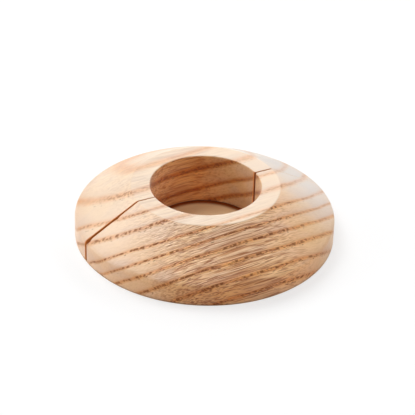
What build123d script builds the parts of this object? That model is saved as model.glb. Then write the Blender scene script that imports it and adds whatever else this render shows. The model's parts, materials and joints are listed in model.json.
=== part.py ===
from build123d import *
import os

# Split handrail rosette: a turned wooden cover ring, sawn in two along its diameter, that closes
# round a handrail and hides the hole where the rail meets the wall. All lengths are millimetres.
#
# Frame: the origin is the centre of the base, on the wall. +Z runs along the rail, away from the
# wall. The sawn joint lies in the XZ plane, and the grain of the wood runs along X.

# The rail and its hole
rail_diameter = 42.0
rail_clearance = 0.25

# The turned outline
outer_diameter = 100.0
height = 21.0
rim_height = 8.5
land_width = 7.25

# The turned edges: the two that a hand meets are rounded, the rest are broken with the tool's tip
rim_edge_radius = 1.8
land_edge_radius = 0.7
mouth_chamfer = 0.4
base_chamfer = 0.5
bore_base_chamfer = 0.9

# The sawn joint: the left end opens towards the rim, and the right end closes towards it
joint_gap_left_rim = 1.0
joint_gap_left_bore = 0.25
joint_gap_right_bore = 0.5
joint_gap_right_rim = 0.1
saw_overrun = 1.0

# The sharp edges round the sawn faces are eased by this much, as a narrow flat
joint_arris_radius = 0.2

# The two fluted dowels that keep the halves in line
dowel_diameter = 6.0
dowel_length = 25.0
dowel_chamfer = 0.6
dowel_height = 8.0
dowel_fit = 0.05
dowel_end_room = 0.5
flute_count = 16
flute_depth = 0.3
flute_radius = 0.45

# Worked out from the sizes above
bore_radius = rail_diameter / 2 + rail_clearance
outer_radius = outer_diameter / 2
land_radius = bore_radius + land_width
dowel_radius = dowel_diameter / 2
dowel_reach = (bore_radius + outer_radius) / 2
hole_radius = dowel_radius + dowel_fit
hole_depth = dowel_length / 2 + dowel_end_room


def corner_at(outline, place):
    """The corner of the outline that lies at a place given as (distance from the axis, height)."""
    return outline.vertices().sort_by_distance((*place, 0))[0]


def turned_section():
    """The outline of the ring, cut on one side of the axis, with its edges rounded and broken."""
    base_inner = (bore_radius, 0)
    base_outer = (outer_radius, 0)
    rim_top = (outer_radius, rim_height)
    land_outer = (land_radius, height)
    mouth = (bore_radius, height)
    rounded = {rim_top: rim_edge_radius, land_outer: land_edge_radius}
    broken = {mouth: mouth_chamfer, base_inner: bore_base_chamfer, base_outer: base_chamfer}
    with BuildSketch() as section:
        with BuildLine():
            Polyline(base_inner, base_outer, rim_top, land_outer, mouth, close=True)
        make_face()
        for place, radius in rounded.items():
            fillet(corner_at(section, place), radius=radius)
        for place, length in broken.items():
            chamfer(corner_at(section, place), length=length)
    return section.sketch


def turned_blank():
    """The whole ring as it leaves the lathe, before it is sawn."""
    return revolve(Plane.XZ * turned_section(), axis=Axis.Z)


def joint_stations():
    """The gap of the joint along X, from past the left rim to past the right one."""
    past = outer_radius + saw_overrun
    wall = outer_radius - bore_radius
    left_growth = (joint_gap_left_rim - joint_gap_left_bore) / wall
    right_growth = (joint_gap_right_rim - joint_gap_right_bore) / wall
    return [
        (-past, joint_gap_left_rim + left_growth * saw_overrun),
        (-bore_radius, joint_gap_left_bore),
        (bore_radius, joint_gap_right_bore),
        (past, joint_gap_right_rim + right_growth * saw_overrun),
    ]


def saw_kerf():
    """The thin space between the halves."""
    front = [(x, -gap / 2) for x, gap in joint_stations()]
    back = [(x, gap / 2) for x, gap in reversed(joint_stations())]
    with BuildPart() as kerf:
        with BuildSketch(Plane.XY):
            with BuildLine():
                Polyline(*front, *back, close=True)
            make_face()
        extrude(amount=height)
    return kerf.part


def sawn_face(half, end):
    """The plane of one sawn end, with x as the distance from the axis and y as the height."""
    stations = joint_stations()[:2] if end < 0 else joint_stations()[2:]
    start, stop = [Vector(x, half * gap / 2) for x, gap in stations]
    along = (stop - start).normalized()
    at_axis = start - along * (start.X / along.X)
    outward = along * (end * along.X / abs(along.X))
    return Plane(origin=at_axis, x_dir=outward, z_dir=outward.cross(Vector(0, 0, 1)))


def arris_easing(half, end):
    """What a sanding block takes off the sharp edge all round one sawn end of a half."""
    face = sawn_face(half, end)
    into = 1 if face.z_dir.Y * half > 0 else -1
    # the easing runs on at its own slope past both surfaces, so that it crosses them cleanly
    run_on = joint_arris_radius / 2
    reach = joint_arris_radius + run_on
    in_the_gap = offset(turned_section(), amount=-reach, kind=Kind.INTERSECTION)
    in_the_wood = offset(turned_section(), amount=run_on, kind=Kind.INTERSECTION)
    sections = [
        face.offset(-into * run_on) * in_the_gap,
        face.offset(into * reach) * in_the_wood,
    ]
    kept = loft(sections, ruled=True)
    around = 4 * joint_arris_radius
    middle = Pos((bore_radius + outer_radius) / 2, height / 2, into * (reach - run_on) / 2)
    block = Box(outer_radius - bore_radius + around, height + around, reach + run_on)
    return face * middle * block - kept


def dowel_axis(side):
    """Where a dowel lies: its middle in the joint, its length across it."""
    middle = (side * dowel_reach, 0, dowel_height)
    return Plane(origin=middle, x_dir=(1, 0, 0), z_dir=(0, 1, 0))


def dowel_hole(side):
    """The drilling for one dowel, into both halves at once."""
    with BuildPart(dowel_axis(side)) as hole:
        Cylinder(radius=hole_radius, height=2 * hole_depth)
    return hole.part


def fluted_dowel(side):
    """A dowel with chamfered ends and flutes that let the glue out."""
    with BuildPart(dowel_axis(side)) as dowel:
        Cylinder(radius=dowel_radius, height=dowel_length)
        chamfer(dowel.edges(), length=dowel_chamfer)
        with PolarLocations(dowel_radius + flute_radius - flute_depth, flute_count):
            Cylinder(radius=flute_radius, height=dowel_length, mode=Mode.SUBTRACT)
    return dowel.part


def main():
    blank = turned_blank() - saw_kerf()
    front, back = sorted(blank.solids(), key=lambda half: half.center().Y)
    sides = {"left": -1, "right": 1}
    holes = [dowel_hole(side) for side in sides.values()]
    nodes = {
        "front_half": front - holes - [arris_easing(-1, end) for end in sides.values()],
        "back_half": back - holes - [arris_easing(1, end) for end in sides.values()],
    }
    for name, side in sides.items():
        nodes["dowel_" + name] = fluted_dowel(side)

    os.makedirs("parts", exist_ok=True)
    for name, shape in nodes.items():
        export_step(shape, "parts/" + name + ".step")
        print(name, "solids", len(shape.solids()), "volume", round(shape.volume, 1))


main()
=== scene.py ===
# %% [markdown]
# # A split handrail rosette in ash
#
# A rosette is the wooden ring that hides the hole where a handrail meets the wall. This one was turned on
# a lathe from one block of ash and then sawn in two along the grain, so that it closes round a rail that
# is already up. Two hidden dowels keep the halves in line.
#
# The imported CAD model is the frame: it holds the true sizes. Everything below dresses it, in metres.

# %% The frame
import json
import math
import bpy
from mathutils import Matrix, Vector


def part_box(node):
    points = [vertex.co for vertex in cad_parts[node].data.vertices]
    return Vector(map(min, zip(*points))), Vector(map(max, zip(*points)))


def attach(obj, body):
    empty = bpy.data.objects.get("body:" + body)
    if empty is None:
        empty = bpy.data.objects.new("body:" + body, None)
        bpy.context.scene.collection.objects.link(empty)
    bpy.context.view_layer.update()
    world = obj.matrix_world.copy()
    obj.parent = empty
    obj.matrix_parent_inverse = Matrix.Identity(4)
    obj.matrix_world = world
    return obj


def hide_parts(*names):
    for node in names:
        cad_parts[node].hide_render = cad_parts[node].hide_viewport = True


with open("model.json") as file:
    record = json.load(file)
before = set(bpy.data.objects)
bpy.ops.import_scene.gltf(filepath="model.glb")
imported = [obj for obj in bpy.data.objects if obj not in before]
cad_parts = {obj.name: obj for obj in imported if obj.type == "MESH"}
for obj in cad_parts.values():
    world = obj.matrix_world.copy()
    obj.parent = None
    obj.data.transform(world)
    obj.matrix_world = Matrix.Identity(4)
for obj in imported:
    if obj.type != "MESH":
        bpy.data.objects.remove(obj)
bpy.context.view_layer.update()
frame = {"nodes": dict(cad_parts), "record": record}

print("nodes", sorted(frame["nodes"]))

# %% [markdown]
# ## Sizes
#
# A turned piece needs few numbers. Those that the frame knows are read from it, so that the dressed halves
# keep the size of the solids that they stand for. The rest are the maker's own choices: how wide the flat
# land is, and how far the saw cut stands open at each end. Half of the cut lies on each side of the joint.

# %% Sizes
MM = 0.001
mounts = {mount["name"]: mount for mount in frame["record"]["mounts"]}
front_low, front_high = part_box("front_half")
dowel_low, dowel_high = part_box("dowel_right")

bore_radius = mounts["rail_bore"]["dims"]["r_mm"] * MM
outer_radius = -front_low[1]
height = front_high[2]
land_radius = bore_radius + 7.25 * MM
half_gap_right_rim = -front_high[1]
half_gap_right_bore = 0.25 * MM
half_gap_left_bore = 0.125 * MM
half_gap_left_rim = 0.5 * MM
print("bore", bore_radius, "outer", outer_radius, "height", height, "half gap", half_gap_right_rim)

# %% [markdown]
# ## The camera
#
# A photograph can be turned back into a camera: the outline, the mouth of the bore and the line of the
# joint were drawn from a trial camera and moved until they lay on the picture. What came out is a long
# lens, seven tenths of a metre away, that looks down at about 32 degrees. It leans by under two degrees.

# %% The camera
photo_width_px = 415
focal_length_px = 1814.5
base_centre_px = (204.28, 230.60)
camera_distance = 0.7038
look_down = math.radians(32.5)
walk_round = math.radians(27.74)
lean = math.radians(-1.77)


def put_in_scene(name, data):
    """Makes an object from a camera, a mesh or a lamp, and links it to the scene."""
    thing = bpy.data.objects.new(name, data)
    bpy.context.scene.collection.objects.link(thing)
    return thing


def photo_camera():
    """The camera that took the photograph, in the frame of the rosette."""
    ahead = Vector((0, math.cos(look_down), -math.sin(look_down)))
    level = Vector((1, 0, 0))
    below = Vector((0, -math.sin(look_down), -math.cos(look_down)))
    right = math.cos(lean) * level + math.sin(lean) * below
    down = -math.sin(lean) * level + math.cos(lean) * below
    middle = photo_width_px / 2
    to_base = (ahead + right * (base_centre_px[0] - middle) / focal_length_px
               + down * (base_centre_px[1] - middle) / focal_length_px)
    place = -to_base.normalized() * camera_distance
    turned = Matrix((right, -down, -ahead)).transposed().to_4x4()
    data = bpy.data.cameras.new("photo_camera")
    data.sensor_width = 36
    data.lens = data.sensor_width * focal_length_px / photo_width_px
    data.clip_start = 0.01
    camera = put_in_scene("photo_camera", data)
    round_the_ring = Matrix.Rotation(-walk_round, 4, "Z")
    camera.matrix_world = round_the_ring @ Matrix.Translation(place) @ turned
    return camera


camera = photo_camera()
bpy.context.scene.camera = camera
print("camera at", tuple(round(value, 4) for value in camera.matrix_world.translation))

# %% [markdown]
# ## Helpers for node trees
#
# Shapes and finishes are both made of nodes here. Wiring them by hand takes three lines for each node,
# so these helpers add one and fill its inputs with numbers or with other nodes' outputs. They find the
# tree to work in from the outputs that they are given.

# %% Helpers for node trees


def tree_of(*values):
    """The node tree of the first output among some values."""
    return next(value.id_data for value in values if isinstance(value, bpy.types.NodeSocket))


def feed(socket, value):
    """Links a socket to another node's output, or types a value into it."""
    if isinstance(value, bpy.types.NodeSocket):
        tree_of(value).links.new(value, socket)
    else:
        socket.default_value = value


def add_node(kind, settings=None, tree=None, **inputs):
    """Adds a node. Settings are its menus, and inputs are named after its sockets, with _ for a space."""
    node = (tree or tree_of(*inputs.values())).nodes.new(kind)
    for name, value in (settings or {}).items():
        setattr(node, name, value)
    for name, value in inputs.items():
        feed(node.inputs[name.replace("_", " ").strip()], value)
    return node


print("node helpers are ready")

# %% [markdown]
# ## Numbers and vectors
#
# A formula in a node tree is a chain of small steps, each of them one node. With a helper for each step
# the chain reads like a line of arithmetic, both for shapes, which place points, and for finishes.

# %% Numbers and vectors


def calc(operation, *values):
    """One step of arithmetic."""
    node = tree_of(*values).nodes.new("ShaderNodeMath")
    node.operation = operation
    for socket, value in zip(node.inputs, values):
        feed(socket, value)
    return node.outputs[0]


def times(first, second):
    """Two numbers multiplied."""
    return calc("MULTIPLY", first, second)


def plus(first, second):
    """Two numbers added."""
    return calc("ADD", first, second)


def minus(first, second):
    """The second number taken from the first."""
    return calc("SUBTRACT", first, second)


def distance(one_way, other_way):
    """How far off a point is that lies so far one way and so far the other."""
    squares = [times(side, side) for side in (one_way, other_way)]
    return calc("SQRT", plus(*squares))


def between_0_and_1(value):
    """A number that is held between 0 and 1."""
    return calc("MINIMUM", calc("MAXIMUM", value, 0.0), 1.0)


def blend(share, first, second):
    """A number between two others, or either of them where the share is 0 or 1."""
    node = tree_of(share, first, second).nodes.new("ShaderNodeMix")
    node.data_type = "FLOAT"
    feed(node.inputs["Factor"], share)
    feed(node.inputs["A"], first)
    feed(node.inputs["B"], second)
    return node.outputs["Result"]


def xyz(x, y, z):
    """A vector from three numbers."""
    return add_node("ShaderNodeCombineXYZ", X=x, Y=y, Z=z).outputs[0]


def parts_of(vector):
    """The three numbers of a vector."""
    return add_node("ShaderNodeSeparateXYZ", Vector=vector).outputs


print("number helpers are ready")

# %% [markdown]
# ## The two halves
#
# A lathe gives the whole ring one outline, so the mesh follows the same rule. A grid is wrapped into a
# skin: across, each of its points takes its place on the outline, and along, each row is one station of
# the maker's work. The first rows line a dowel hole, from the centre of its floor to its mouth, the next
# spread over the sawn face and round its edge, most of them sweep half a turn round the axis, and the
# last ones go down the other hole the same way.
#
# Spin would make the turned part as well, but a boolean cut would leave the sawn edges razor sharp. Here
# every length is a named input of one tree, so the two halves come out of the same rule. Edges that the
# solid model breaks with a flat are rounded here, within the same reach.

# %% Rows, points and named inputs
outline_points = 300
centre_row, floor_row, mouth_row, face_row = range(4)
hole_rows = face_row + 1
arris_rows = 6
sweep_rows = 184
end_rows = hole_rows + arris_rows
all_rows = 2 * end_rows + sweep_rows
half_sizes = {
    "bore radius": bore_radius, "outer radius": outer_radius, "land radius": land_radius,
    "height": height, "rim height": 8.5 * MM, "rim rounding": 1.8 * MM, "land rounding": 0.7 * MM,
    "mouth rounding": 0.5 * MM, "base rounding": 0.6 * MM, "bore base rounding": 0.9 * MM,
    "half gap left rim": half_gap_left_rim, "half gap left bore": half_gap_left_bore,
    "half gap right rim": half_gap_right_rim, "half gap right bore": half_gap_right_bore,
    "arris rounding": 0.2 * MM, "closed end share": 0.1, "bore arris wear": 0.7 * MM,
    "worn from": 36.6 * MM, "rim arris wear": 0.0, "chip length": 1.0 * MM,
    "chip a": (0.0, 0.0, 0.0), "chip b": (0.0, 0.0, 0.0), "chip c": (0.0, 0.0, 0.0),
    "dowel reach": (bore_radius + outer_radius) / 2, "dowel height": (dowel_low[2] + dowel_high[2]) / 2,
    "hole radius": 3.05 * MM, "hole depth": 13.0 * MM, "face margin": 0.4 * MM, "side": -1.0,
}


def new_shape_tree(name, sizes):
    """An empty geometry tree with named inputs, and its input and output nodes."""
    tree = bpy.data.node_groups.new(name, "GeometryNodeTree")
    tree.interface.new_socket(name="Geometry", in_out="OUTPUT", socket_type="NodeSocketGeometry")
    for size, start in sizes.items():
        kind = "NodeSocketVector" if isinstance(start, tuple) else "NodeSocketFloat"
        socket = tree.interface.new_socket(name=size, in_out="INPUT", socket_type=kind)
        socket.default_value = start
    tree.interface.new_socket(name="material", in_out="INPUT", socket_type="NodeSocketMaterial")
    given = tree.nodes.new("NodeGroupInput").outputs
    return tree, given, tree.nodes.new("NodeGroupOutput")


print("one half has", all_rows, "rows of", outline_points, "points, and", len(half_sizes), "inputs")

# %% [markdown]
# ## The turned outline
#
# The turner works to five corners: the foot at the bore, the foot of the rim, the top of the rim, the
# edge of the flat land and the mouth of the bore. The top of the rim is rounded most, because hands meet
# it, and the others are only broken. A circle of five points is the shortest way to a closed curve with
# five corners: its points are sent to their places, and Fillet Curve rounds each by its own radius.

# %% The turned outline
points_per_rounding = 10


def shape_step(geometry, kind, settings=None, **inputs):
    """Adds a node that works on the shape so far, and hands on what it makes of it."""
    node = add_node(kind, settings, tree_of(geometry), **inputs)
    feed(node.inputs[0], geometry)
    return node.outputs[0]


def turned_outline(tree, given):
    """The closed outline of the ring's section, with x as the distance from the axis."""
    bore, rim, land = given["bore radius"], given["outer radius"], given["land radius"]
    top = given["height"]
    places = [(bore, 0.0), (rim, 0.0), (rim, given["rim height"]), (land, top), (bore, top)]
    roundings = ["bore base rounding", "base rounding", "rim rounding", "land rounding", "mouth rounding"]
    index = tree.nodes.new("GeometryNodeInputIndex").outputs[0]
    place = add_node("GeometryNodeIndexSwitch", {"data_type": "VECTOR"}, Index=index)
    radius = add_node("GeometryNodeIndexSwitch", {"data_type": "FLOAT"}, Index=index)
    for choice in (place, radius):
        while len(choice.index_switch_items) < len(places):
            choice.index_switch_items.new()
    for corner, (out, up) in enumerate(places):
        feed(place.inputs[1 + corner], xyz(out, 0.0, up))
        feed(radius.inputs[1 + corner], given[roundings[corner]])
    ring = add_node("GeometryNodeCurvePrimitiveCircle", tree=tree, Resolution=len(places)).outputs["Curve"]
    corners = shape_step(ring, "GeometryNodeSetPosition", Position=place.outputs[0])
    return shape_step(corners, "GeometryNodeFilletCurve", {"mode": "POLY"}, Count=points_per_rounding,
                      Radius=radius.outputs[0], Limit_Radius=True)


print("the outline has five corners and is sampled at", outline_points, "points")

# %% [markdown]
# ## How far the edge is worn
#
# A saw leaves an edge that cuts the hand, so it is eased with fine paper into a tiny quarter round. Use
# has gone on with that work. On the front half the left edge is worn from halfway up the cone to the rim
# and knocked in three places, and on both halves the edge is worn round where the right end meets the
# bore. Past the land that end is nearly shut, and its edge is still sharp. All of this is one number, the
# radius of the quarter round, which changes from point to point: a knock is a soft bump in it.

# %% How far the edge is worn
wear_grows_over = 1.0 * MM
past_the_land = 0.2 * MM
beside_the_bore = 0.6 * MM


def chipping(given, end, out, up):
    """How much more the sawn edge is rounded where it was knocked: a bump round each named chip."""
    total = 0.0
    for chip in ("chip a", "chip b", "chip c"):
        where = parts_of(given[chip])
        along = minus(times(out, end), where["X"])
        near = calc("DIVIDE", distance(along, minus(up, where["Z"])), given["chip length"])
        bump = calc("EXPONENT", times(times(near, near), -1.0))
        total = plus(total, times(bump, where["Y"]))
    return total


def edge_rounding(given, end, out, up):
    """The radius of the quarter round at each point of a sawn end's edge."""
    rounding = plus(given["arris rounding"], chipping(given, end, out, up))
    if end < 0:
        past_start = minus(out, given["worn from"])
        worn = between_0_and_1(times(past_start, 1 / wear_grows_over))
        return calc("MULTIPLY_ADD", worn, given["rim arris wear"], rounding)
    shut = calc("GREATER_THAN", out, plus(given["land radius"], past_the_land))
    share = blend(shut, 1.0, given["closed end share"])
    at_bore = calc("LESS_THAN", minus(out, given["bore radius"]), beside_the_bore)
    return calc("MULTIPLY_ADD", at_bore, given["bore arris wear"], times(rounding, share))


print("the sawn edges are eased by", round(half_sizes["arris rounding"] / MM, 2), "mm")

# %% [markdown]
# ## A sawn end
#
# The cut isn't quite closed. From the bore to the rim it opens at the left and shuts at the right, so a
# sawn face stands off the joint by a distance that grows or shrinks along it. One row of points lies on
# the face, a little inside its edge. The next ones climb round the quarter circle of that edge, each drawn
# in from the outline by as much as the circle asks.

# %% A sawn end


def sawn_end(given, end, fold, out, up, inward):
    """One sawn end: how far its face and its edge stand off the joint, and where the edge's rows lie."""
    side = "left" if end < 0 else "right"
    from_bore = minus(out, given["bore radius"])
    wall = minus(given["outer radius"], given["bore radius"])
    gap_at_bore, gap_at_rim = given["half gap " + side + " bore"], given["half gap " + side + " rim"]
    half_gap = blend(calc("DIVIDE", from_bore, wall), gap_at_bore, gap_at_rim)
    rounding = edge_rounding(given, end, out, up)
    share = between_0_and_1(calc("DIVIDE", minus(fold, hole_rows), arris_rows))
    turn = times(share, math.pi / 2)
    drop = minus(1.0, calc("COSINE", turn))
    sink = minus(1.0, calc("SINE", turn))
    on_face = calc("COMPARE", fold, face_row, 0.5)
    inset = plus(times(rounding, sink), times(on_face, given["face margin"]))
    off = plus(half_gap, times(rounding, drop))
    out_in = plus(out, times(inward["X"], inset))
    up_in = plus(up, times(inward["Z"], inset))
    return half_gap, off, out_in, up_in


print("each end has", hole_rows, "rows for its hole and face and", arris_rows, "for its edge")

# %% [markdown]
# ## The three kinds of rows
#
# Those of a sawn end lie straight across from the joint. Those of the sweep turn evenly round the axis,
# from one edge to the other. Those of a dowel hole are circles: two on its floor, one of them shrunk to a
# point, and one at its mouth. Each kind is one formula, so a row needs only its number.

# %% The three kinds of rows


def swept_rows(row, out, up, left_off, right_off):
    """The rows that turn evenly from the left end's edge to the right end's."""
    start = calc("ARCSINE", calc("DIVIDE", left_off, out))
    stop = minus(math.pi, calc("ARCSINE", calc("DIVIDE", right_off, out)))
    share = calc("DIVIDE", minus(row, end_rows), sweep_rows - 1)
    angle = blend(between_0_and_1(share), start, stop)
    x = times(calc("COSINE", angle), times(out, -1.0))
    return xyz(x, times(calc("SINE", angle), out), up)


def sawn_rows(end, off, out_in, up_in):
    """The rows of a sawn end: straight across from the joint, and never further out than the outline."""
    squares = [times(value, value) for value in (out_in, off)]
    reach = calc("SQRT", minus(*squares))
    return xyz(times(reach, end), off, up_in)


def dowel_hole_rows(given, end, fold, out, up, half_gap):
    """The rows of a dowel hole: its floor's centre, its floor's edge and its mouth."""
    to_out = minus(out, given["dowel reach"])
    to_up = minus(up, given["dowel height"])
    radius = times(calc("GREATER_THAN", fold, centre_row + 0.5), given["hole radius"])
    spread = calc("DIVIDE", radius, distance(to_out, to_up))
    hole_out = plus(given["dowel reach"], times(to_out, spread))
    hole_up = plus(given["dowel height"], times(to_up, spread))
    depth = blend(calc("LESS_THAN", fold, floor_row + 0.5), half_gap, given["hole depth"])
    return xyz(times(hole_out, end), depth, hole_up)


print(sweep_rows, "rows sweep round the axis")

# %% [markdown]
# ## Wrapping the grid
#
# Every point of the grid now finds its place. Across the grid it is sampled from the outline, and along
# it the row's number says which kind of row it is. Rows are counted inwards from both ends at once, so
# one formula serves for both.

# %% Wrapping the grid


def wrapped_places(tree, given):
    """Where each point of the grid goes."""
    spot = parts_of(tree.nodes.new("GeometryNodeInputPosition").outputs[0])
    row = calc("ROUND", plus(spot["X"], (all_rows - 1) / 2))
    fold = calc("MINIMUM", row, minus(all_rows - 1, row))
    near_left = calc("LESS_THAN", row, all_rows / 2)
    end = minus(1.0, times(near_left, 2.0))

    sample = add_node("GeometryNodeSampleCurve", {"mode": "FACTOR"},
                      Curves=turned_outline(tree, given), Factor=plus(spot["Y"], 0.5))
    on_outline = parts_of(sample.outputs["Position"])
    tangent = parts_of(sample.outputs["Tangent"])
    out, up = on_outline["X"], on_outline["Z"]
    inward = {"X": times(tangent["Z"], -1.0), "Z": tangent["X"]}

    left = sawn_end(given, -1.0, fold, out, up, inward)
    right = sawn_end(given, 1.0, fold, out, up, inward)
    half_gap, off, out_in, up_in = [blend(near_left, b, a) for a, b in zip(left, right)]
    swept = swept_rows(row, out, up, left[1], right[1])
    sawn = sawn_rows(end, off, out_in, up_in)
    hole = dowel_hole_rows(given, end, fold, out, up, half_gap)

    in_sweep = calc("GREATER_THAN", fold, end_rows - 0.5)
    in_hole = calc("LESS_THAN", fold, mouth_row + 0.5)
    skin = add_node("GeometryNodeSwitch", {"input_type": "VECTOR"}, Switch=in_sweep,
                    False_=sawn, True_=swept)
    place = add_node("GeometryNodeSwitch", {"input_type": "VECTOR"}, Switch=in_hole,
                     False_=skin.outputs[0], True_=hole)
    spot = parts_of(place.outputs[0])
    return xyz(spot["X"], times(spot["Y"], given["side"]), spot["Z"])


print("rows up to", end_rows - 1, "from either end belong to a sawn end")

# %% [markdown]
# ## The skin
#
# Where the outline closes on itself, and at the centre of each hole's floor, points fall on one another,
# and Merge by Distance makes the skin watertight there. The back half is the mirror of the front one,
# which turns its faces inside out, so they are flipped. Sharp bends stay crisp, and the rest are smooth,
# as turned and sanded wood is.

# %% The skin
merged_within = 0.001 * MM
crisp_bend = math.radians(50)


def half_tree():
    """The whole tree, from the outline to the finished skin."""
    tree, given, result = new_shape_tree("turned_half", half_sizes)
    grid = add_node("GeometryNodeMeshGrid", tree=tree, Size_X=all_rows - 1, Size_Y=1.0,
                    Vertices_X=all_rows, Vertices_Y=outline_points + 1).outputs["Mesh"]
    skin = shape_step(grid, "GeometryNodeSetPosition", Position=wrapped_places(tree, given))
    skin = shape_step(skin, "GeometryNodeMergeByDistance", Distance=merged_within)
    inside_out = calc("GREATER_THAN", given["side"], 0.0)
    skin = shape_step(skin, "GeometryNodeFlipFaces", Selection=inside_out)
    skin = shape_step(skin, "GeometryNodeSetShadeSmooth")
    bend = tree.nodes.new("GeometryNodeInputMeshEdgeAngle").outputs["Unsigned Angle"]
    skin = shape_step(skin, "GeometryNodeSetShadeSmooth", {"domain": "EDGE"},
                      Selection=calc("GREATER_THAN", bend, crisp_bend), Shade_Smooth=False)
    skin = shape_step(skin, "GeometryNodeRealizeInstances")
    skin = shape_step(skin, "GeometryNodeSetMaterial", Material=given["material"])
    feed(result.inputs["Geometry"], skin)
    return tree


turning = half_tree()
print("the tree of one half has", len(turning.nodes), "nodes")

# %% [markdown]
# ## Colours
#
# A finish is built up in thin layers, as on a bench: a colour, a mask that says where the next colour
# goes, and a way to mix the two. Colours are written as they look on a screen, and a shader wants them as
# amounts of light, so they are converted.

# %% Colours


def paint(red, green, blue):
    """A colour given as it looks on a screen, from 0 to 255, as the light values that shaders use."""
    parts = [value / 255 for value in (red, green, blue)]
    light = [part / 12.92 if part <= 0.04045 else ((part + 0.055) / 1.055) ** 2.4 for part in parts]
    return (*light, 1)


def ramp(factor, stops):
    """A colour ramp from (place, colour) pairs. A plain number stands for a grey."""
    node = tree_of(factor).nodes.new("ShaderNodeValToRGB")
    elements = node.color_ramp.elements
    while len(elements) < len(stops):
        elements.new(1.0)
    for element, (place, colour) in zip(elements, stops):
        element.position = place
        element.color = colour if isinstance(colour, tuple) else (colour, colour, colour, 1)
    feed(node.inputs["Fac"], factor)
    return node.outputs["Color"]


def tint(mode, share, first, second):
    """Two colours mixed in a named way."""
    node = tree_of(share, first, second).nodes.new("ShaderNodeMix")
    node.data_type = "RGBA"
    node.blend_type = mode
    feed(node.inputs["Factor"], share)
    feed(node.inputs[6], first)
    feed(node.inputs[7], second)
    return node.outputs[2]


print("a middle grey on the screen is", round(paint(128, 128, 128)[0], 3), "in light")

# %% [markdown]
# ## Masks and patterns
#
# A mask is a number from 0 to 1 at each point. Masks are put together as sets are, with both, either and
# outside. Patterns are measured in millimetres from the middle of the base, so that they run through the
# solid and keep their place on the wood.

# %% Masks and patterns


def both(first, second):
    """A mask that holds only where two masks do."""
    return times(first, second)


def either(first, second):
    """A mask that holds where the stronger of two masks does."""
    return calc("MAXIMUM", first, second)


def outside(mask, share=1.0):
    """1 outside a mask, and less by the given share inside it."""
    return calc("MULTIPLY_ADD", mask, -share, 1.0)


def soft_step(value, start, stop):
    """0 up to one value and 1 from the other on, with a soft step between them."""
    return add_node("ShaderNodeMapRange", {"interpolation_type": "SMOOTHSTEP"},
                    Value=value, From_Min=start, From_Max=stop).outputs[0]


def stretched(place, along, sideways, deep, shift=0.0):
    """The point's place in a field whose cells are so many millimetres long, wide and deep."""
    node = add_node("ShaderNodeMapping", Vector=place)
    node.inputs["Scale"].default_value = (1 / along, 1 / sideways, 1 / deep)
    node.inputs["Location"].default_value = (shift, shift, shift)
    return node.outputs[0]


def noise(place, along, sideways, deep, shift=0.0, detail=2.0, roughness=0.5):
    """Smooth noise that wavers about 0.5, in waves so many millimetres long, wide and deep."""
    field = stretched(place, along, sideways, deep, shift)
    return add_node("ShaderNodeTexNoise", Vector=field, Scale=1.0, Detail=detail,
                    Roughness=roughness).outputs["Fac"]


def millimetres(tree):
    """Where the shaded point lies in the block, in millimetres."""
    spot = tree.nodes.new("ShaderNodeTexCoord").outputs["Object"]
    return add_node("ShaderNodeVectorMath", {"operation": "SCALE"}, Vector=spot, Scale=1 / MM).outputs[0]


def new_finish(name):
    """An empty material with its shader."""
    material = bpy.data.materials.new(name)
    material.use_nodes = True
    return material, material.node_tree, material.node_tree.nodes["Principled BSDF"]


print("patterns are scaled by", 1 / MM, "to millimetres")

# %% [markdown]
# ## The growth of the block
#
# Wood shows what the tool cut through, so its pattern has to run through the block and not lie on its
# skin. The block came from a plank: its rings are arcs round a pith that lay above and behind it, and the
# grain runs along the joint. A curve turns the distance from that pith into an age in years, with
# a wide step for a good summer. What is left of the age after whole years says how far a point lies
# within its ring. Slow noise lets the rings wander, and fine noise ripples them as fibres do.

# %% The growth of the block
pith_side = 99.45
pith_height = 165.2
typical_radius = 190.0
pith_lean_side = -0.0228
pith_lean_height = 0.0734
ring_edges = [148.0, 155.5, 162.5, 169.6, 177.8, 183.4, 190.8,
              195.7, 200.1, 206.0, 212.5, 218.6, 224.5, 231.0]
ring_wander = 1.6
ring_ripple = 0.25


def grown(place):
    """The age of the wood in years at a point, and its place along, round and out from the pith."""
    spot = parts_of(place)
    pith_y = calc("MULTIPLY_ADD", spot["X"], pith_lean_side, pith_side)
    pith_z = calc("MULTIPLY_ADD", spot["X"], pith_lean_height, pith_height)
    side = minus(spot["Y"], pith_y)
    rise = minus(spot["Z"], pith_z)
    far = distance(side, rise)
    turn = calc("ARCTAN2", side, times(rise, -1.0))
    wander = minus(noise(place, 26.0, 9.0, 9.0), 0.5)
    ripple = minus(noise(place, 6.0, 0.9, 0.9, shift=5.0), 0.5)
    far = calc("MULTIPLY_ADD", wander, ring_wander, far)
    far = calc("MULTIPLY_ADD", ripple, ring_ripple, far)
    first, last = ring_edges[0], ring_edges[-1]
    share = calc("DIVIDE", minus(far, first), last - first)
    node = add_node("ShaderNodeFloatCurve", Value=share)
    points = node.mapping.curves[0].points
    while len(points) < len(ring_edges):
        points.new(0.5, 0.5)
    for year, edge in enumerate(ring_edges):
        points[year].location = ((edge - first) / (last - first), year / (len(ring_edges) - 1))
        points[year].handle_type = "VECTOR"
    node.mapping.update()
    age = times(node.outputs[0], len(ring_edges) - 1)
    return age, xyz(spot["X"], times(turn, typical_radius), far)


print("the block holds", len(ring_edges) - 1, "years of growth")

# %% [markdown]
# ## Vessels
#
# Ash is ring porous. Each spring begins with a row of wide vessels, which look like dark dashes where the
# surface runs along the grain and like dots where it crosses it. Cell noise scatters them: the row is a
# flat field of long cells, one cell deep, that starts anew each year and is fuller in some years than in
# others. Stray vessels and the small ones of summer come from fields that fill the solid.

# %% Vessels
vessel_length = 1.7
vessel_spacing = 0.70
shift_along = 3.7
shift_round = 5.3


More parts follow.
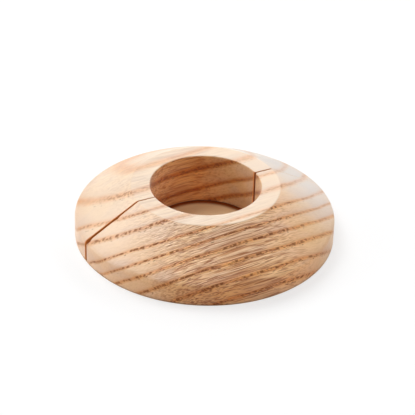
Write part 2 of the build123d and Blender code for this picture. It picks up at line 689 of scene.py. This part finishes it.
def dashes(place, size, fullness):
    """1 inside a dash and 0 between them. Fullness is the share of the scattered cells that hold one."""
    cell = add_node("ShaderNodeTexVoronoi", Vector=place, Scale=1.0).outputs
    dash = soft_step(cell["Distance"], size * 1.2, size * 0.6)
    return both(dash, calc("LESS_THAN", parts_of(cell["Color"])["X"], fullness))


def first_row(grain, season, year):
    """The row of wide vessels with which each year begins."""
    each_year = add_node("ShaderNodeVectorMath", {"operation": "MULTIPLY_ADD"}, Vector=grain)
    each_year.inputs[1].default_value = (1 / vessel_length, 1 / vessel_spacing, 0.0)
    feed(each_year.inputs[2], xyz(times(year, shift_along), times(year, shift_round), year))
    row = dashes(each_year.outputs[0], size=0.52, fullness=0.94)
    vigour = add_node("ShaderNodeTexWhiteNoise", {"noise_dimensions": "1D"}, W=year).outputs["Value"]
    in_row = ramp(season, [(0.00, 0.0), (0.02, 1.0), (0.13, 1.0), (0.17, 0.0), (1.0, 0.0)])
    return both(both(row, in_row), blend(vigour, 0.7, 1.0))


def vessels(grain, season, year):
    """The wide vessels of spring and the small ones of summer, each 1 where one is cut open."""
    spring = ramp(season, [(0.0, 0.0), (0.05, 0.5), (0.12, 0.9), (0.2, 0.6), (0.27, 0.12), (0.4, 0.0)])
    stray = dashes(stretched(grain, 1.9, 0.7, 0.5, shift=1.0), size=0.40, fullness=spring)
    wide = either(first_row(grain, season, year), times(stray, 0.8))
    summer = ramp(season, [(0.0, 0.7), (0.3, 0.5), (0.6, 0.35), (0.95, 0.35)])
    small = dashes(stretched(grain, 9.0, 0.9, 0.5, shift=7.0), size=0.38, fullness=summer)
    return wide, small


print("a vessel of the first row is about", vessel_length, "mm long")

# %% [markdown]
# ## The parts of the ring
#
# One oil over one block doesn't stay one colour: each part of the ring has been handled in its own way,
# and some of the light and shade on each part is painted into its colour. A mask says how far a point
# belongs to a part. It is made from the point's place in the block, so it needs no painted map, and it
# stays put whichever way the ring is seen or lit.

# %% The parts of the ring
bore_mm = bore_radius / MM
outer_mm = outer_radius / MM
land_mm = land_radius / MM
height_mm = height / MM


def regions(place):
    """Where a point lies, and how far it belongs to each part of the ring."""
    spot = parts_of(place)
    out = distance(spot["X"], spot["Y"])
    land = soft_step(spot["Z"], height_mm - 0.25, height_mm - 0.05)
    bore = both(soft_step(out, bore_mm + 0.9, bore_mm + 0.4), outside(land))
    left_end = soft_step(spot["X"], -24.0, -44.0)
    return {
        "along": spot["X"], "across": spot["Y"], "up": spot["Z"], "out": out,
        "land": land, "bore": bore,
        "right in the bore": both(bore, calc("GREATER_THAN", spot["X"], 0.0)),
        "foot": both(soft_step(spot["Z"], 13.0, 6.0), outside(bore)),
        "far right": both(soft_step(spot["X"], 14.0, 34.0), outside(land)),
        "past the land": soft_step(spot["X"], land_mm - 0.5, land_mm + 0.5),
        "end grain": either(soft_step(spot["X"], 2.0, 27.0), left_end),
    }


print("masks run from the base at 0 to the land at", round(height_mm, 3), "mm")

# %% [markdown]
# ## Where the wood is worn, and where light and shade are painted
#
# The land, the back and the far right are made paler where the key light's sheen falls on them: a painted
# sheen. Hands and fine paper have closed the pores there. The bore and the low front of the rim are made
# darker and warmer with painted shade, and the saw cut and the broken edges at the base are darkened with
# painted shade too. Each of these marks is again a mask, put together from the parts.

# %% Worn wood, painted sheen and painted shade


def rubbed(where):
    """Where the pores are closed: on the land, behind the joint and at the far right."""
    behind = soft_step(calc("MULTIPLY_ADD", where["along"], 0.12, where["across"]), 3.0, 17.0)
    far_right = soft_step(where["along"], 14.0, 38.0)
    handled = either(times(where["land"], 0.7), times(far_right, 0.7))
    return both(either(behind, handled), outside(where["bore"]))


def painted_sheen_mask(where):
    """Where a painted sheen pales the wood: on the land and towards the back, but never down the bore."""
    towards_the_key_light = calc("MULTIPLY_ADD", where["along"], -0.2, where["across"])
    to_right = calc("MAXIMUM", minus(where["along"], 24.0), 0.0)
    towards_the_key_light = calc("MULTIPLY_ADD", to_right, 1.3, towards_the_key_light)
    cone = both(soft_step(towards_the_key_light, -40.0, 18.0), outside(where["foot"], share=0.6))
    return both(either(cone, where["land"]), outside(where["bore"]))


def painted_bore_and_foot_shade(where):
    """Where shade is painted: down the bore, and low on the front of the rim, less so towards its right.
    """
    front = soft_step(where["across"], -30.0, -45.0)
    front = both(front, blend(soft_step(where["along"], -12.0, -2.0), 1.0, 0.55))
    return either(times(where["bore"], 0.95), both(where["foot"], front))


def beside_the_cut(where):
    """The eased edges of the saw cut, except on the land, which is sanded clean, and the sawn faces.

    Where the right end meets the bore the edge is worn round, so there both reach further out.
    """
    across_ring = calc("MULTIPLY_ADD", where["along"], 0.5 / outer_mm, 0.5)
    bore_share = bore_radius / (2 * outer_radius)
    half_gap = ramp(across_ring, [
        (0.0, half_gap_left_rim / MM), (0.5 - bore_share, half_gap_left_bore / MM),
        (0.5 + bore_share, half_gap_right_bore / MM), (1.0, half_gap_right_rim / MM),
    ])
    off = minus(calc("ABSOLUTE", where["across"]), half_gap)
    off_edge = times(off, blend(where["right in the bore"], 1.0, 0.42))
    off_face = times(off, blend(where["right in the bore"], 1.0, 0.20))
    unsanded = both(outside(where["past the land"]), outside(where["land"]))
    edge = both(soft_step(off_edge, 0.45, 0.15), unsanded)
    return edge, soft_step(off_face, 0.12, 0.03)


def painted_base_edge_shade(where):
    """Painted shade on the broken edges at the base: a dark line low on the bore wall, and a weaker one
    round the outer foot.
    """
    inner = soft_step(where["out"], bore_mm + 1.3, bore_mm + 0.9)
    outer = soft_step(where["out"], outer_mm - 0.9, outer_mm - 0.5)
    low = soft_step(calc("MULTIPLY_ADD", inner, -0.2, where["up"]), 0.50, 0.20)
    return both(low, either(inner, times(outer, 0.6)))


print("marks: rubbed, faded, deepened, sawn and burnished")

# %% [markdown]
# ## The colour of the fibres
#
# Between the pores ash is a bundle of pale and darker fibres. Three noises make the streaks: fine ones
# and broad ones that are drawn out along the grain, and a short mottle. They choose between two sets of
# ring colours, golden in spring and paler in summer, and the same streaks later give the wood its relief.
# Towards the ends, where the tool crossed the grain, the streaks run together, so the choice is evened
# out there. A slow cloud turns some patches rosy and others grey.

# %% Fibres
fine_share, broad_share, mottle_share = 0.64, 0.3, 0.06


def fibres(place, grain, season, where):
    """The colour of the wood between its pores, and the streaks that it is made of."""
    pale_fibres = ramp(season, [
        (0.00, paint(228, 168, 108)), (0.07, paint(228, 160, 90)), (0.16, paint(232, 174, 108)),
        (0.28, paint(245, 206, 160)), (0.62, paint(243, 205, 162)), (0.86, paint(234, 192, 150)),
        (0.95, paint(230, 182, 132)), (1.00, paint(228, 168, 108)),
    ])
    dark_fibres = ramp(season, [
        (0.00, paint(196, 124, 66)), (0.07, paint(194, 116, 54)), (0.15, paint(202, 136, 80)),
        (0.30, paint(209, 152, 102)), (0.62, paint(202, 147, 99)), (0.86, paint(200, 144, 98)),
        (0.95, paint(196, 134, 84)), (1.00, paint(196, 124, 66)),
    ])
    fine = noise(grain, 17.0, 1.1, 0.55, shift=3.0, detail=1.0, roughness=0.6)
    broad = noise(grain, 34.0, 3.5, 1.8, shift=9.0)
    mottle = noise(place, 2.6, 0.9, 0.9, shift=6.0, detail=1.0)
    streak = plus(times(fine, fine_share), times(broad, broad_share))
    streak = plus(streak, times(mottle, mottle_share))
    light = ramp(streak, [(0.38, 0.0), (0.46, 0.4), (0.51, 0.75), (0.59, 1.0)])
    evened = either(times(where["end grain"], 0.88), times(where["foot"], 0.45))
    light = blend(evened, light, 0.66)
    wood = tint("MIX", light, dark_fibres, pale_fibres)
    cloud = noise(place, 20.0, 8.0, 8.0, shift=11.0, detail=1.0)
    wood = tint("MULTIPLY", 1.0, wood, ramp(cloud, [
        (0.36, (1.0, 0.97, 0.90, 1)), (0.48, (1.0, 0.97, 0.96, 1)), (0.60, (0.93, 0.92, 1.0, 1))]))
    return wood, streak, fine


print("fibres: three noises and two sets of ring colours")

# %% [markdown]
# ## Daylight, oil and the saw
#
# Three layers lie over the fibres. A painted sheen mixes in a pale grey that is cooler at the far right,
# and spares the golden band of spring. Painted shade multiplies down the bore and low on the front of the
# rim: it makes the wood darker and warmer, least on the lit right side of the bore, but lets its pattern
# through. The sawn faces and their edges are covered by a painted shade of their own, the left lip of the
# bore by a painted sheen, and the broken edges at the base multiply again with painted shade.

# %% Painted sheen, painted shade and the saw cut


def with_painted_sheen(wood, where, pale, haze):
    """The wood under a painted sheen, with cooler tints at the far right and on the foot, most at its left
    end.
    """
    amount = both(pale, blend(where["far right"], 0.6, 0.72))
    # grey is the colour of the painted sheen: a pale grey on the land and the cone, and a cooler one at
    # the far right.
    grey = tint("MIX", where["land"], paint(218, 206, 188), paint(213, 202, 185))
    grey = tint("MIX", where["far right"], grey, paint(188, 186, 186))
    wood = tint("MIX", both(amount, outside(haze)), wood, grey)
    left_foot = both(where["foot"], soft_step(where["along"], -14.0, -30.0))
    for mask, colour in ((where["far right"], (0.92, 0.97, 1.0, 1)), (where["foot"], (0.93, 0.95, 1.0, 1)),
                         (left_foot, (0.90, 0.93, 1.0, 1))):
        wood = tint("MULTIPLY", mask, wood, colour)
    return wood


def with_painted_shade(wood, where, haze):
    """The wood darkened and warmed by painted shade, least on the lit right side of the bore, with the
    haze of the rings deepened in the bore.
    """
    across_bore = calc("MULTIPLY_ADD", where["along"], 0.5 / bore_mm, 0.5)
    # depth holds the tints of the painted shade: at the foot, and across the bore from its left, deepest
    # in the middle, to its lit right, where it turns greyer.
    depth = tint("MIX", where["bore"], (0.93, 0.78, 0.58, 1), ramp(across_bore, [
        (0.20, (0.93, 0.75, 0.54, 1)), (0.66, (0.86, 0.62, 0.33, 1)), (0.92, (0.79, 0.78, 0.70, 1))]))
    wood = tint("MULTIPLY", painted_bore_and_foot_shade(where), wood, depth)
    return tint("MULTIPLY", both(where["bore"], haze), wood, (0.74, 0.54, 0.24, 1))


def painted_cut_lip_and_base(wood, where, base_edge_shade):
    """The wood with a painted sheen at the left lip of the bore, painted shade on the saw cut's edges and
    faces, and painted shade on the broken edges at the base.
    """
    # The pale colour at the left lip of the bore is a painted sheen.
    lip = both(where["bore"], soft_step(where["along"], -15.0, -21.0))
    wood = tint("MIX", times(lip, 0.55), wood, paint(226, 192, 166))
    edge, inside = beside_the_cut(where)
    # The orange on the eased edges beside the cut paints the shade in the groove. The sawn faces are
    # painted darker still as the shade in the gap, near black where the right end meets the bore. Past the
    # land, where the gap is shut, they stay pale.
    cut_edge_shade = tint("MIX", where["bore"], paint(206, 126, 54), paint(232, 144, 76))
    wood = tint("MIX", times(edge, 0.85), wood, cut_edge_shade)
    gap_shade = tint("MIX", where["past the land"], paint(190, 120, 54), paint(228, 204, 176))
    gap_shade = tint("MIX", where["right in the bore"], gap_shade, paint(56, 22, 6))
    wood = tint("MIX", times(inside, 0.8), wood, gap_shade)
    # The broken edges at the base are multiplied dark: a painted shade.
    return tint("MULTIPLY", base_edge_shade, wood, (0.20, 0.08, 0.03, 1))


# Here the daylight is a painted sheen, the oil a painted shade, and the saw and the burnishing painted
# shade too.
print("layers over the fibres: daylight, oil, saw and burnishing")

# %% [markdown]
# ## The finish as a whole
#
# Pores and the dark lines between fibres are filled in before the painted sheen, and the wide vessels
# after it, because the eye sees down into them. A matt oil leaves a soft sheen, which is one number all
# over. What does change is the roughness: open pores, the broken base edges under painted shade and the
# shaded wall of the bore throw back no gloss. The relief is half a millimetre at most, and it is weaker
# under the painted sheen and where the end grain was sanded smooth.

# %% The ash
relief_depth = 0.5 * MM


def ash_finish():
    """Sanded ash under a thin matt oil."""
    material, tree, shader = new_finish("oiled_ash")
    place = millimetres(tree)
    age, grain = grown(place)
    season = calc("FRACT", age)
    where = regions(place)
    # pale is the share of the painted sheen at each point.
    pale = painted_sheen_mask(where)
    # Lines and pores show weaker under the painted sheen and down the bore.
    sheen_or_bore = either(pale, where["bore"])
    wood, streak, fine = fibres(place, grain, season, where)

    wide, small = vessels(grain, season, calc("FLOOR", age))
    open_pores = outside(rubbed(where), share=0.85)
    calm = outside(either(where["end grain"], where["land"]), share=0.86)
    wide = both(wide, open_pores)
    small = both(both(small, open_pores), calm)
    lines = noise(grain, 13.0, 0.8, 0.42, shift=4.0, detail=0.0)
    lines = both(ramp(lines, [(0.37, 1.0), (0.46, 0.0)]), calm)
    wood = tint("MIX", both(lines, blend(sheen_or_bore, 0.72, 0.18)), wood, paint(158, 92, 42))
    wood = tint("MIX", both(small, blend(sheen_or_bore, 0.8, 0.25)), wood, paint(158, 90, 36))

    haze = ramp(season, [(0.0, 0.6), (0.08, 0.8), (0.17, 0.6), (0.28, 0.0), (0.88, 0.0), (1.0, 0.6)])
    haze = both(haze, outside(pale, share=0.45))
    wood = with_painted_sheen(wood, where, pale, haze)
    wood = with_painted_shade(wood, where, haze)
    wood = tint("MIX", both(wide, blend(sheen_or_bore, 0.96, 0.70)), wood, paint(112, 60, 20))
    # The broken edges at the base carry a painted shade and lose their gloss.
    base_edge_shade = painted_base_edge_shade(where)
    wood = painted_cut_lip_and_base(wood, where, base_edge_shade)
    feed(shader.inputs["Base Color"], wood)

    shaded_wall = both(where["bore"], soft_step(where["along"], -19.5, -10.0))
    dull = either(either(wide, base_edge_shade), times(shaded_wall, 0.8))
    feed(shader.inputs["Roughness"], blend(dull, blend(fine, 0.38, 0.52), 1.0))
    shader.inputs["Specular IOR Level"].default_value = 0.6
    shader.inputs["Sheen Weight"].default_value = 0.35
    shader.inputs["Sheen Roughness"].default_value = 0.4

    dips = plus(times(wide, 0.1), times(small, 0.1))
    dips = calc("MULTIPLY_ADD", lines, 0.08, dips)
    relief = both(blend(pale, 1.0, 0.35), outside(where["end grain"], share=0.65))
    bump = add_node("ShaderNodeBump", Strength=relief, Distance=relief_depth, Height=minus(streak, dips))
    feed(shader.inputs["Normal"], bump.outputs[0])
    return material


ash = ash_finish()
print("the ash has", len(ash.node_tree.nodes), "nodes")

# %% [markdown]
# ## Beech for the dowels
#
# Dowels are cut from beech, a dense pinkish wood with fine dark flecks. They show only down the saw cut
# and when the halves are taken apart, so they keep their solids from the frame and only get a finish.
# Their grain runs along the dowel, across the joint, so the ash's helpers serve for them too, once the
# place is turned by a quarter.

# %% The beech


def beech_finish():
    """Dry planed beech, with its grain along Y."""
    material, tree, shader = new_finish("dowel_beech")
    turned = add_node("ShaderNodeMapping", Vector=millimetres(tree))
    turned.inputs["Rotation"].default_value = (0, 0, math.pi / 2)
    grain = turned.outputs[0]
    cloud = noise(grain, 12.0, 1.2, 1.2, detail=3.0)
    wood = ramp(cloud, [(0.3, paint(196, 142, 104)), (0.7, paint(220, 172, 132))])
    fleck = dashes(stretched(grain, 1.6, 0.35, 0.35, shift=2.0), size=0.3, fullness=0.5)
    wood = tint("MIX", times(fleck, 0.6), wood, paint(142, 92, 62))
    feed(shader.inputs["Base Color"], wood)
    feed(shader.inputs["Roughness"], blend(cloud, 0.5, 0.7))
    bump = add_node("ShaderNodeBump", Strength=0.2, Distance=0.05 * MM, Height=cloud)
    feed(shader.inputs["Normal"], bump.outputs[0])
    return material


beech = beech_finish()
for name in ("dowel_left", "dowel_right"):
    slots = frame["nodes"][name].data.materials
    slots.clear()
    slots.append(beech)
print("the beech has", len(beech.node_tree.nodes), "nodes")

# %% [markdown]
# ## Turning the halves
#
# The tree is put on an empty mesh as a modifier, its inputs are set for one half, and the result is kept
# as a plain mesh, which stands for that half of the solid model. The front half has its own knocks at the
# left end of the joint: near the top of the rim, halfway up the cone and at the foot. Each knock is three
# numbers: how far along it lies, how much it widens the rounding, and how high it lies.

# %% The halves


def turn_half(name, tree, settings):
    """Runs the tree with some of its inputs changed, and keeps what it makes as a plain mesh."""
    carrier = put_in_scene(name + "_carrier", bpy.data.meshes.new(name + "_carrier"))
    modifier = carrier.modifiers.new("turning", "NODES")
    modifier.node_group = tree
    for item in tree.interface.items_tree:
        if item.in_out == "INPUT" and item.name in settings:
            modifier[item.identifier] = settings[item.name]
    seen = carrier.evaluated_get(bpy.context.evaluated_depsgraph_get())
    mesh = bpy.data.meshes.new_from_object(seen)
    mesh.name = name
    bpy.data.objects.remove(carrier)
    piece = put_in_scene(name, mesh)
    print(name, len(mesh.vertices), "points,", [round(side / MM, 2) for side in piece.dimensions], "mm")
    return piece


front = turn_half("front_half_turned", turning, {
    "side": -1.0,
    "material": ash,
    "rim arris wear": 0.25 * MM,
    "chip a": (-48.9 * MM, 1.1 * MM, 8.8 * MM),
    "chip b": (-37.2 * MM, 0.6 * MM, 16.1 * MM),
    "chip c": (-49.8 * MM, 0.4 * MM, 0.3 * MM),
})
back = turn_half("back_half_turned", turning, {"side": 1.0, "material": ash})
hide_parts("front_half")
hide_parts("back_half")
for piece in (front, back):
    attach(piece, "root")

# %% [markdown]
# ## The table
#
# The photograph is cut out on white, but through the bore a sandy table shows, with a dark line where the
# ring touches it. So the table is sand, and only outside the ring's foot does the camera see it as white.
# That white asks what kind of ray arrives, instead of adding light, which would wash out the ring too. A
# third of it stays matt paper, so that it still takes the ring's shadow.
#
# The dark line is a contact shadow. Light that bounces off the pale table softens it more than in the
# photograph, so the table is also painted dark just inside the wall.

# %% The table
glow_share = 0.65
line_starts = bore_radius - 2.9 * MM
line_is_dark = bore_radius - 0.4 * MM
line_fades_over = 0.6 * MM
table_reach = 3.0


def white_to_the_camera(tree):
    """Matt paper that glows enough to look white, whatever lamps there are."""
    paper = add_node("ShaderNodeBsdfDiffuse", tree=tree)
    paper.inputs["Color"].default_value = (0.9, 0.9, 0.9, 1)
    glow = add_node("ShaderNodeEmission", tree=tree)
    white = add_node("ShaderNodeMixShader", tree=tree, Fac=glow_share)
    feed(white.inputs[1], paper.outputs[0])
    feed(white.inputs[2], glow.outputs[0])
    return white.outputs[0]


def table_finish():
    """A pale sandy table that the camera sees as white outside the ring's foot."""
    material, tree, shader = new_finish("pale_table")
    shader.inputs["Roughness"].default_value = 0.8
    shader.inputs["Specular IOR Level"].default_value = 0.1
    spot = parts_of(tree.nodes.new("ShaderNodeTexCoord").outputs["Object"])
    far = distance(spot["X"], spot["Y"])
    touched = both(soft_step(far, line_starts, line_is_dark),
                   soft_step(far, outer_radius, outer_radius - line_fades_over))
    grain = noise(millimetres(tree), 9.0, 3.0, 3.0, shift=2.0, detail=3.0)
    sand = ramp(grain, [(0.35, paint(244, 213, 168)), (0.65, paint(248, 221, 178))])
    feed(shader.inputs["Base Color"], tint("MULTIPLY", touched, sand, (0.32, 0.09, 0.02, 1)))
    path = tree.nodes.new("ShaderNodeLightPath").outputs
    seen = either(path["Is Camera Ray"], either(path["Is Glossy Ray"], path["Is Transmission Ray"]))
    seen = both(seen, calc("GREATER_THAN", far, outer_radius))
    surface = add_node("ShaderNodeMixShader", Fac=seen)
    feed(surface.inputs[1], shader.outputs[0])
    feed(surface.inputs[2], white_to_the_camera(tree))
    feed(tree.nodes["Material Output"].inputs["Surface"], surface.outputs[0])
    return material


table_corners = [(x * table_reach, y * table_reach, 0) for x, y in ((-1, -1), (1, -1), (1, 1), (-1, 1))]
table_mesh = bpy.data.meshes.new("floor")
table_mesh.from_pydata(table_corners, [], [(0, 1, 2, 3)])
table_mesh.materials.append(table_finish())
floor = put_in_scene("floor", table_mesh)
print("the table reaches", table_reach, "m each way")

# %% [markdown]
# ## Lights
#
# The photograph is a soft studio shot. Its key light is a wide softbox high up, behind the ring and to
# the left: it lays a pale sheen on the flat land and leaves the side that faces the camera in a warmer
# shade. Three low boxes, to the left, behind and to the right, lift the rim and the far wall of the bore,
# and a weak one behind the camera fills the front. The white room adds only a trace. Where pale wood
# would clip to white, the lamps come down, and the colour of the wood stays what it is.

# %% Lights
lamp_distance = 1.2
room_light = 0.03


def softbox(name, azimuth, elevation, size, power):
    """A square area light that faces the ring. Azimuth 0 is behind it as the camera sees it."""
    data = bpy.data.lights.new(name, "AREA")
    data.shape = "SQUARE"
    data.size = size
    data.energy = power
    lamp = put_in_scene(name, data)
    turn = math.radians(azimuth) + walk_round
    rise = math.radians(elevation)
    towards = Vector((math.sin(turn) * math.cos(rise), math.cos(turn) * math.cos(rise), math.sin(rise)))
    lamp.location = towards * lamp_distance
    lamp.rotation_euler = towards.to_track_quat("Z", "Y").to_euler()


softbox("key_from_behind_left", azimuth=-45, elevation=53, size=0.8, power=12.2)
softbox("low_from_the_left", azimuth=-90, elevation=14, size=0.7, power=7.6)
softbox("low_from_behind", azimuth=15, elevation=22, size=0.8, power=6.8)
softbox("low_from_the_right", azimuth=85, elevation=25, size=0.7, power=5.4)
softbox("fill_from_the_front", azimuth=180, elevation=40, size=1.0, power=4.6)

world = bpy.data.worlds.new("studio")
world.use_nodes = True
background = world.node_tree.nodes["Background"].inputs
background["Color"].default_value = (1, 1, 1, 1)
background["Strength"].default_value = room_light
bpy.context.scene.world = world
bpy.context.scene.view_settings.view_transform = "Standard"
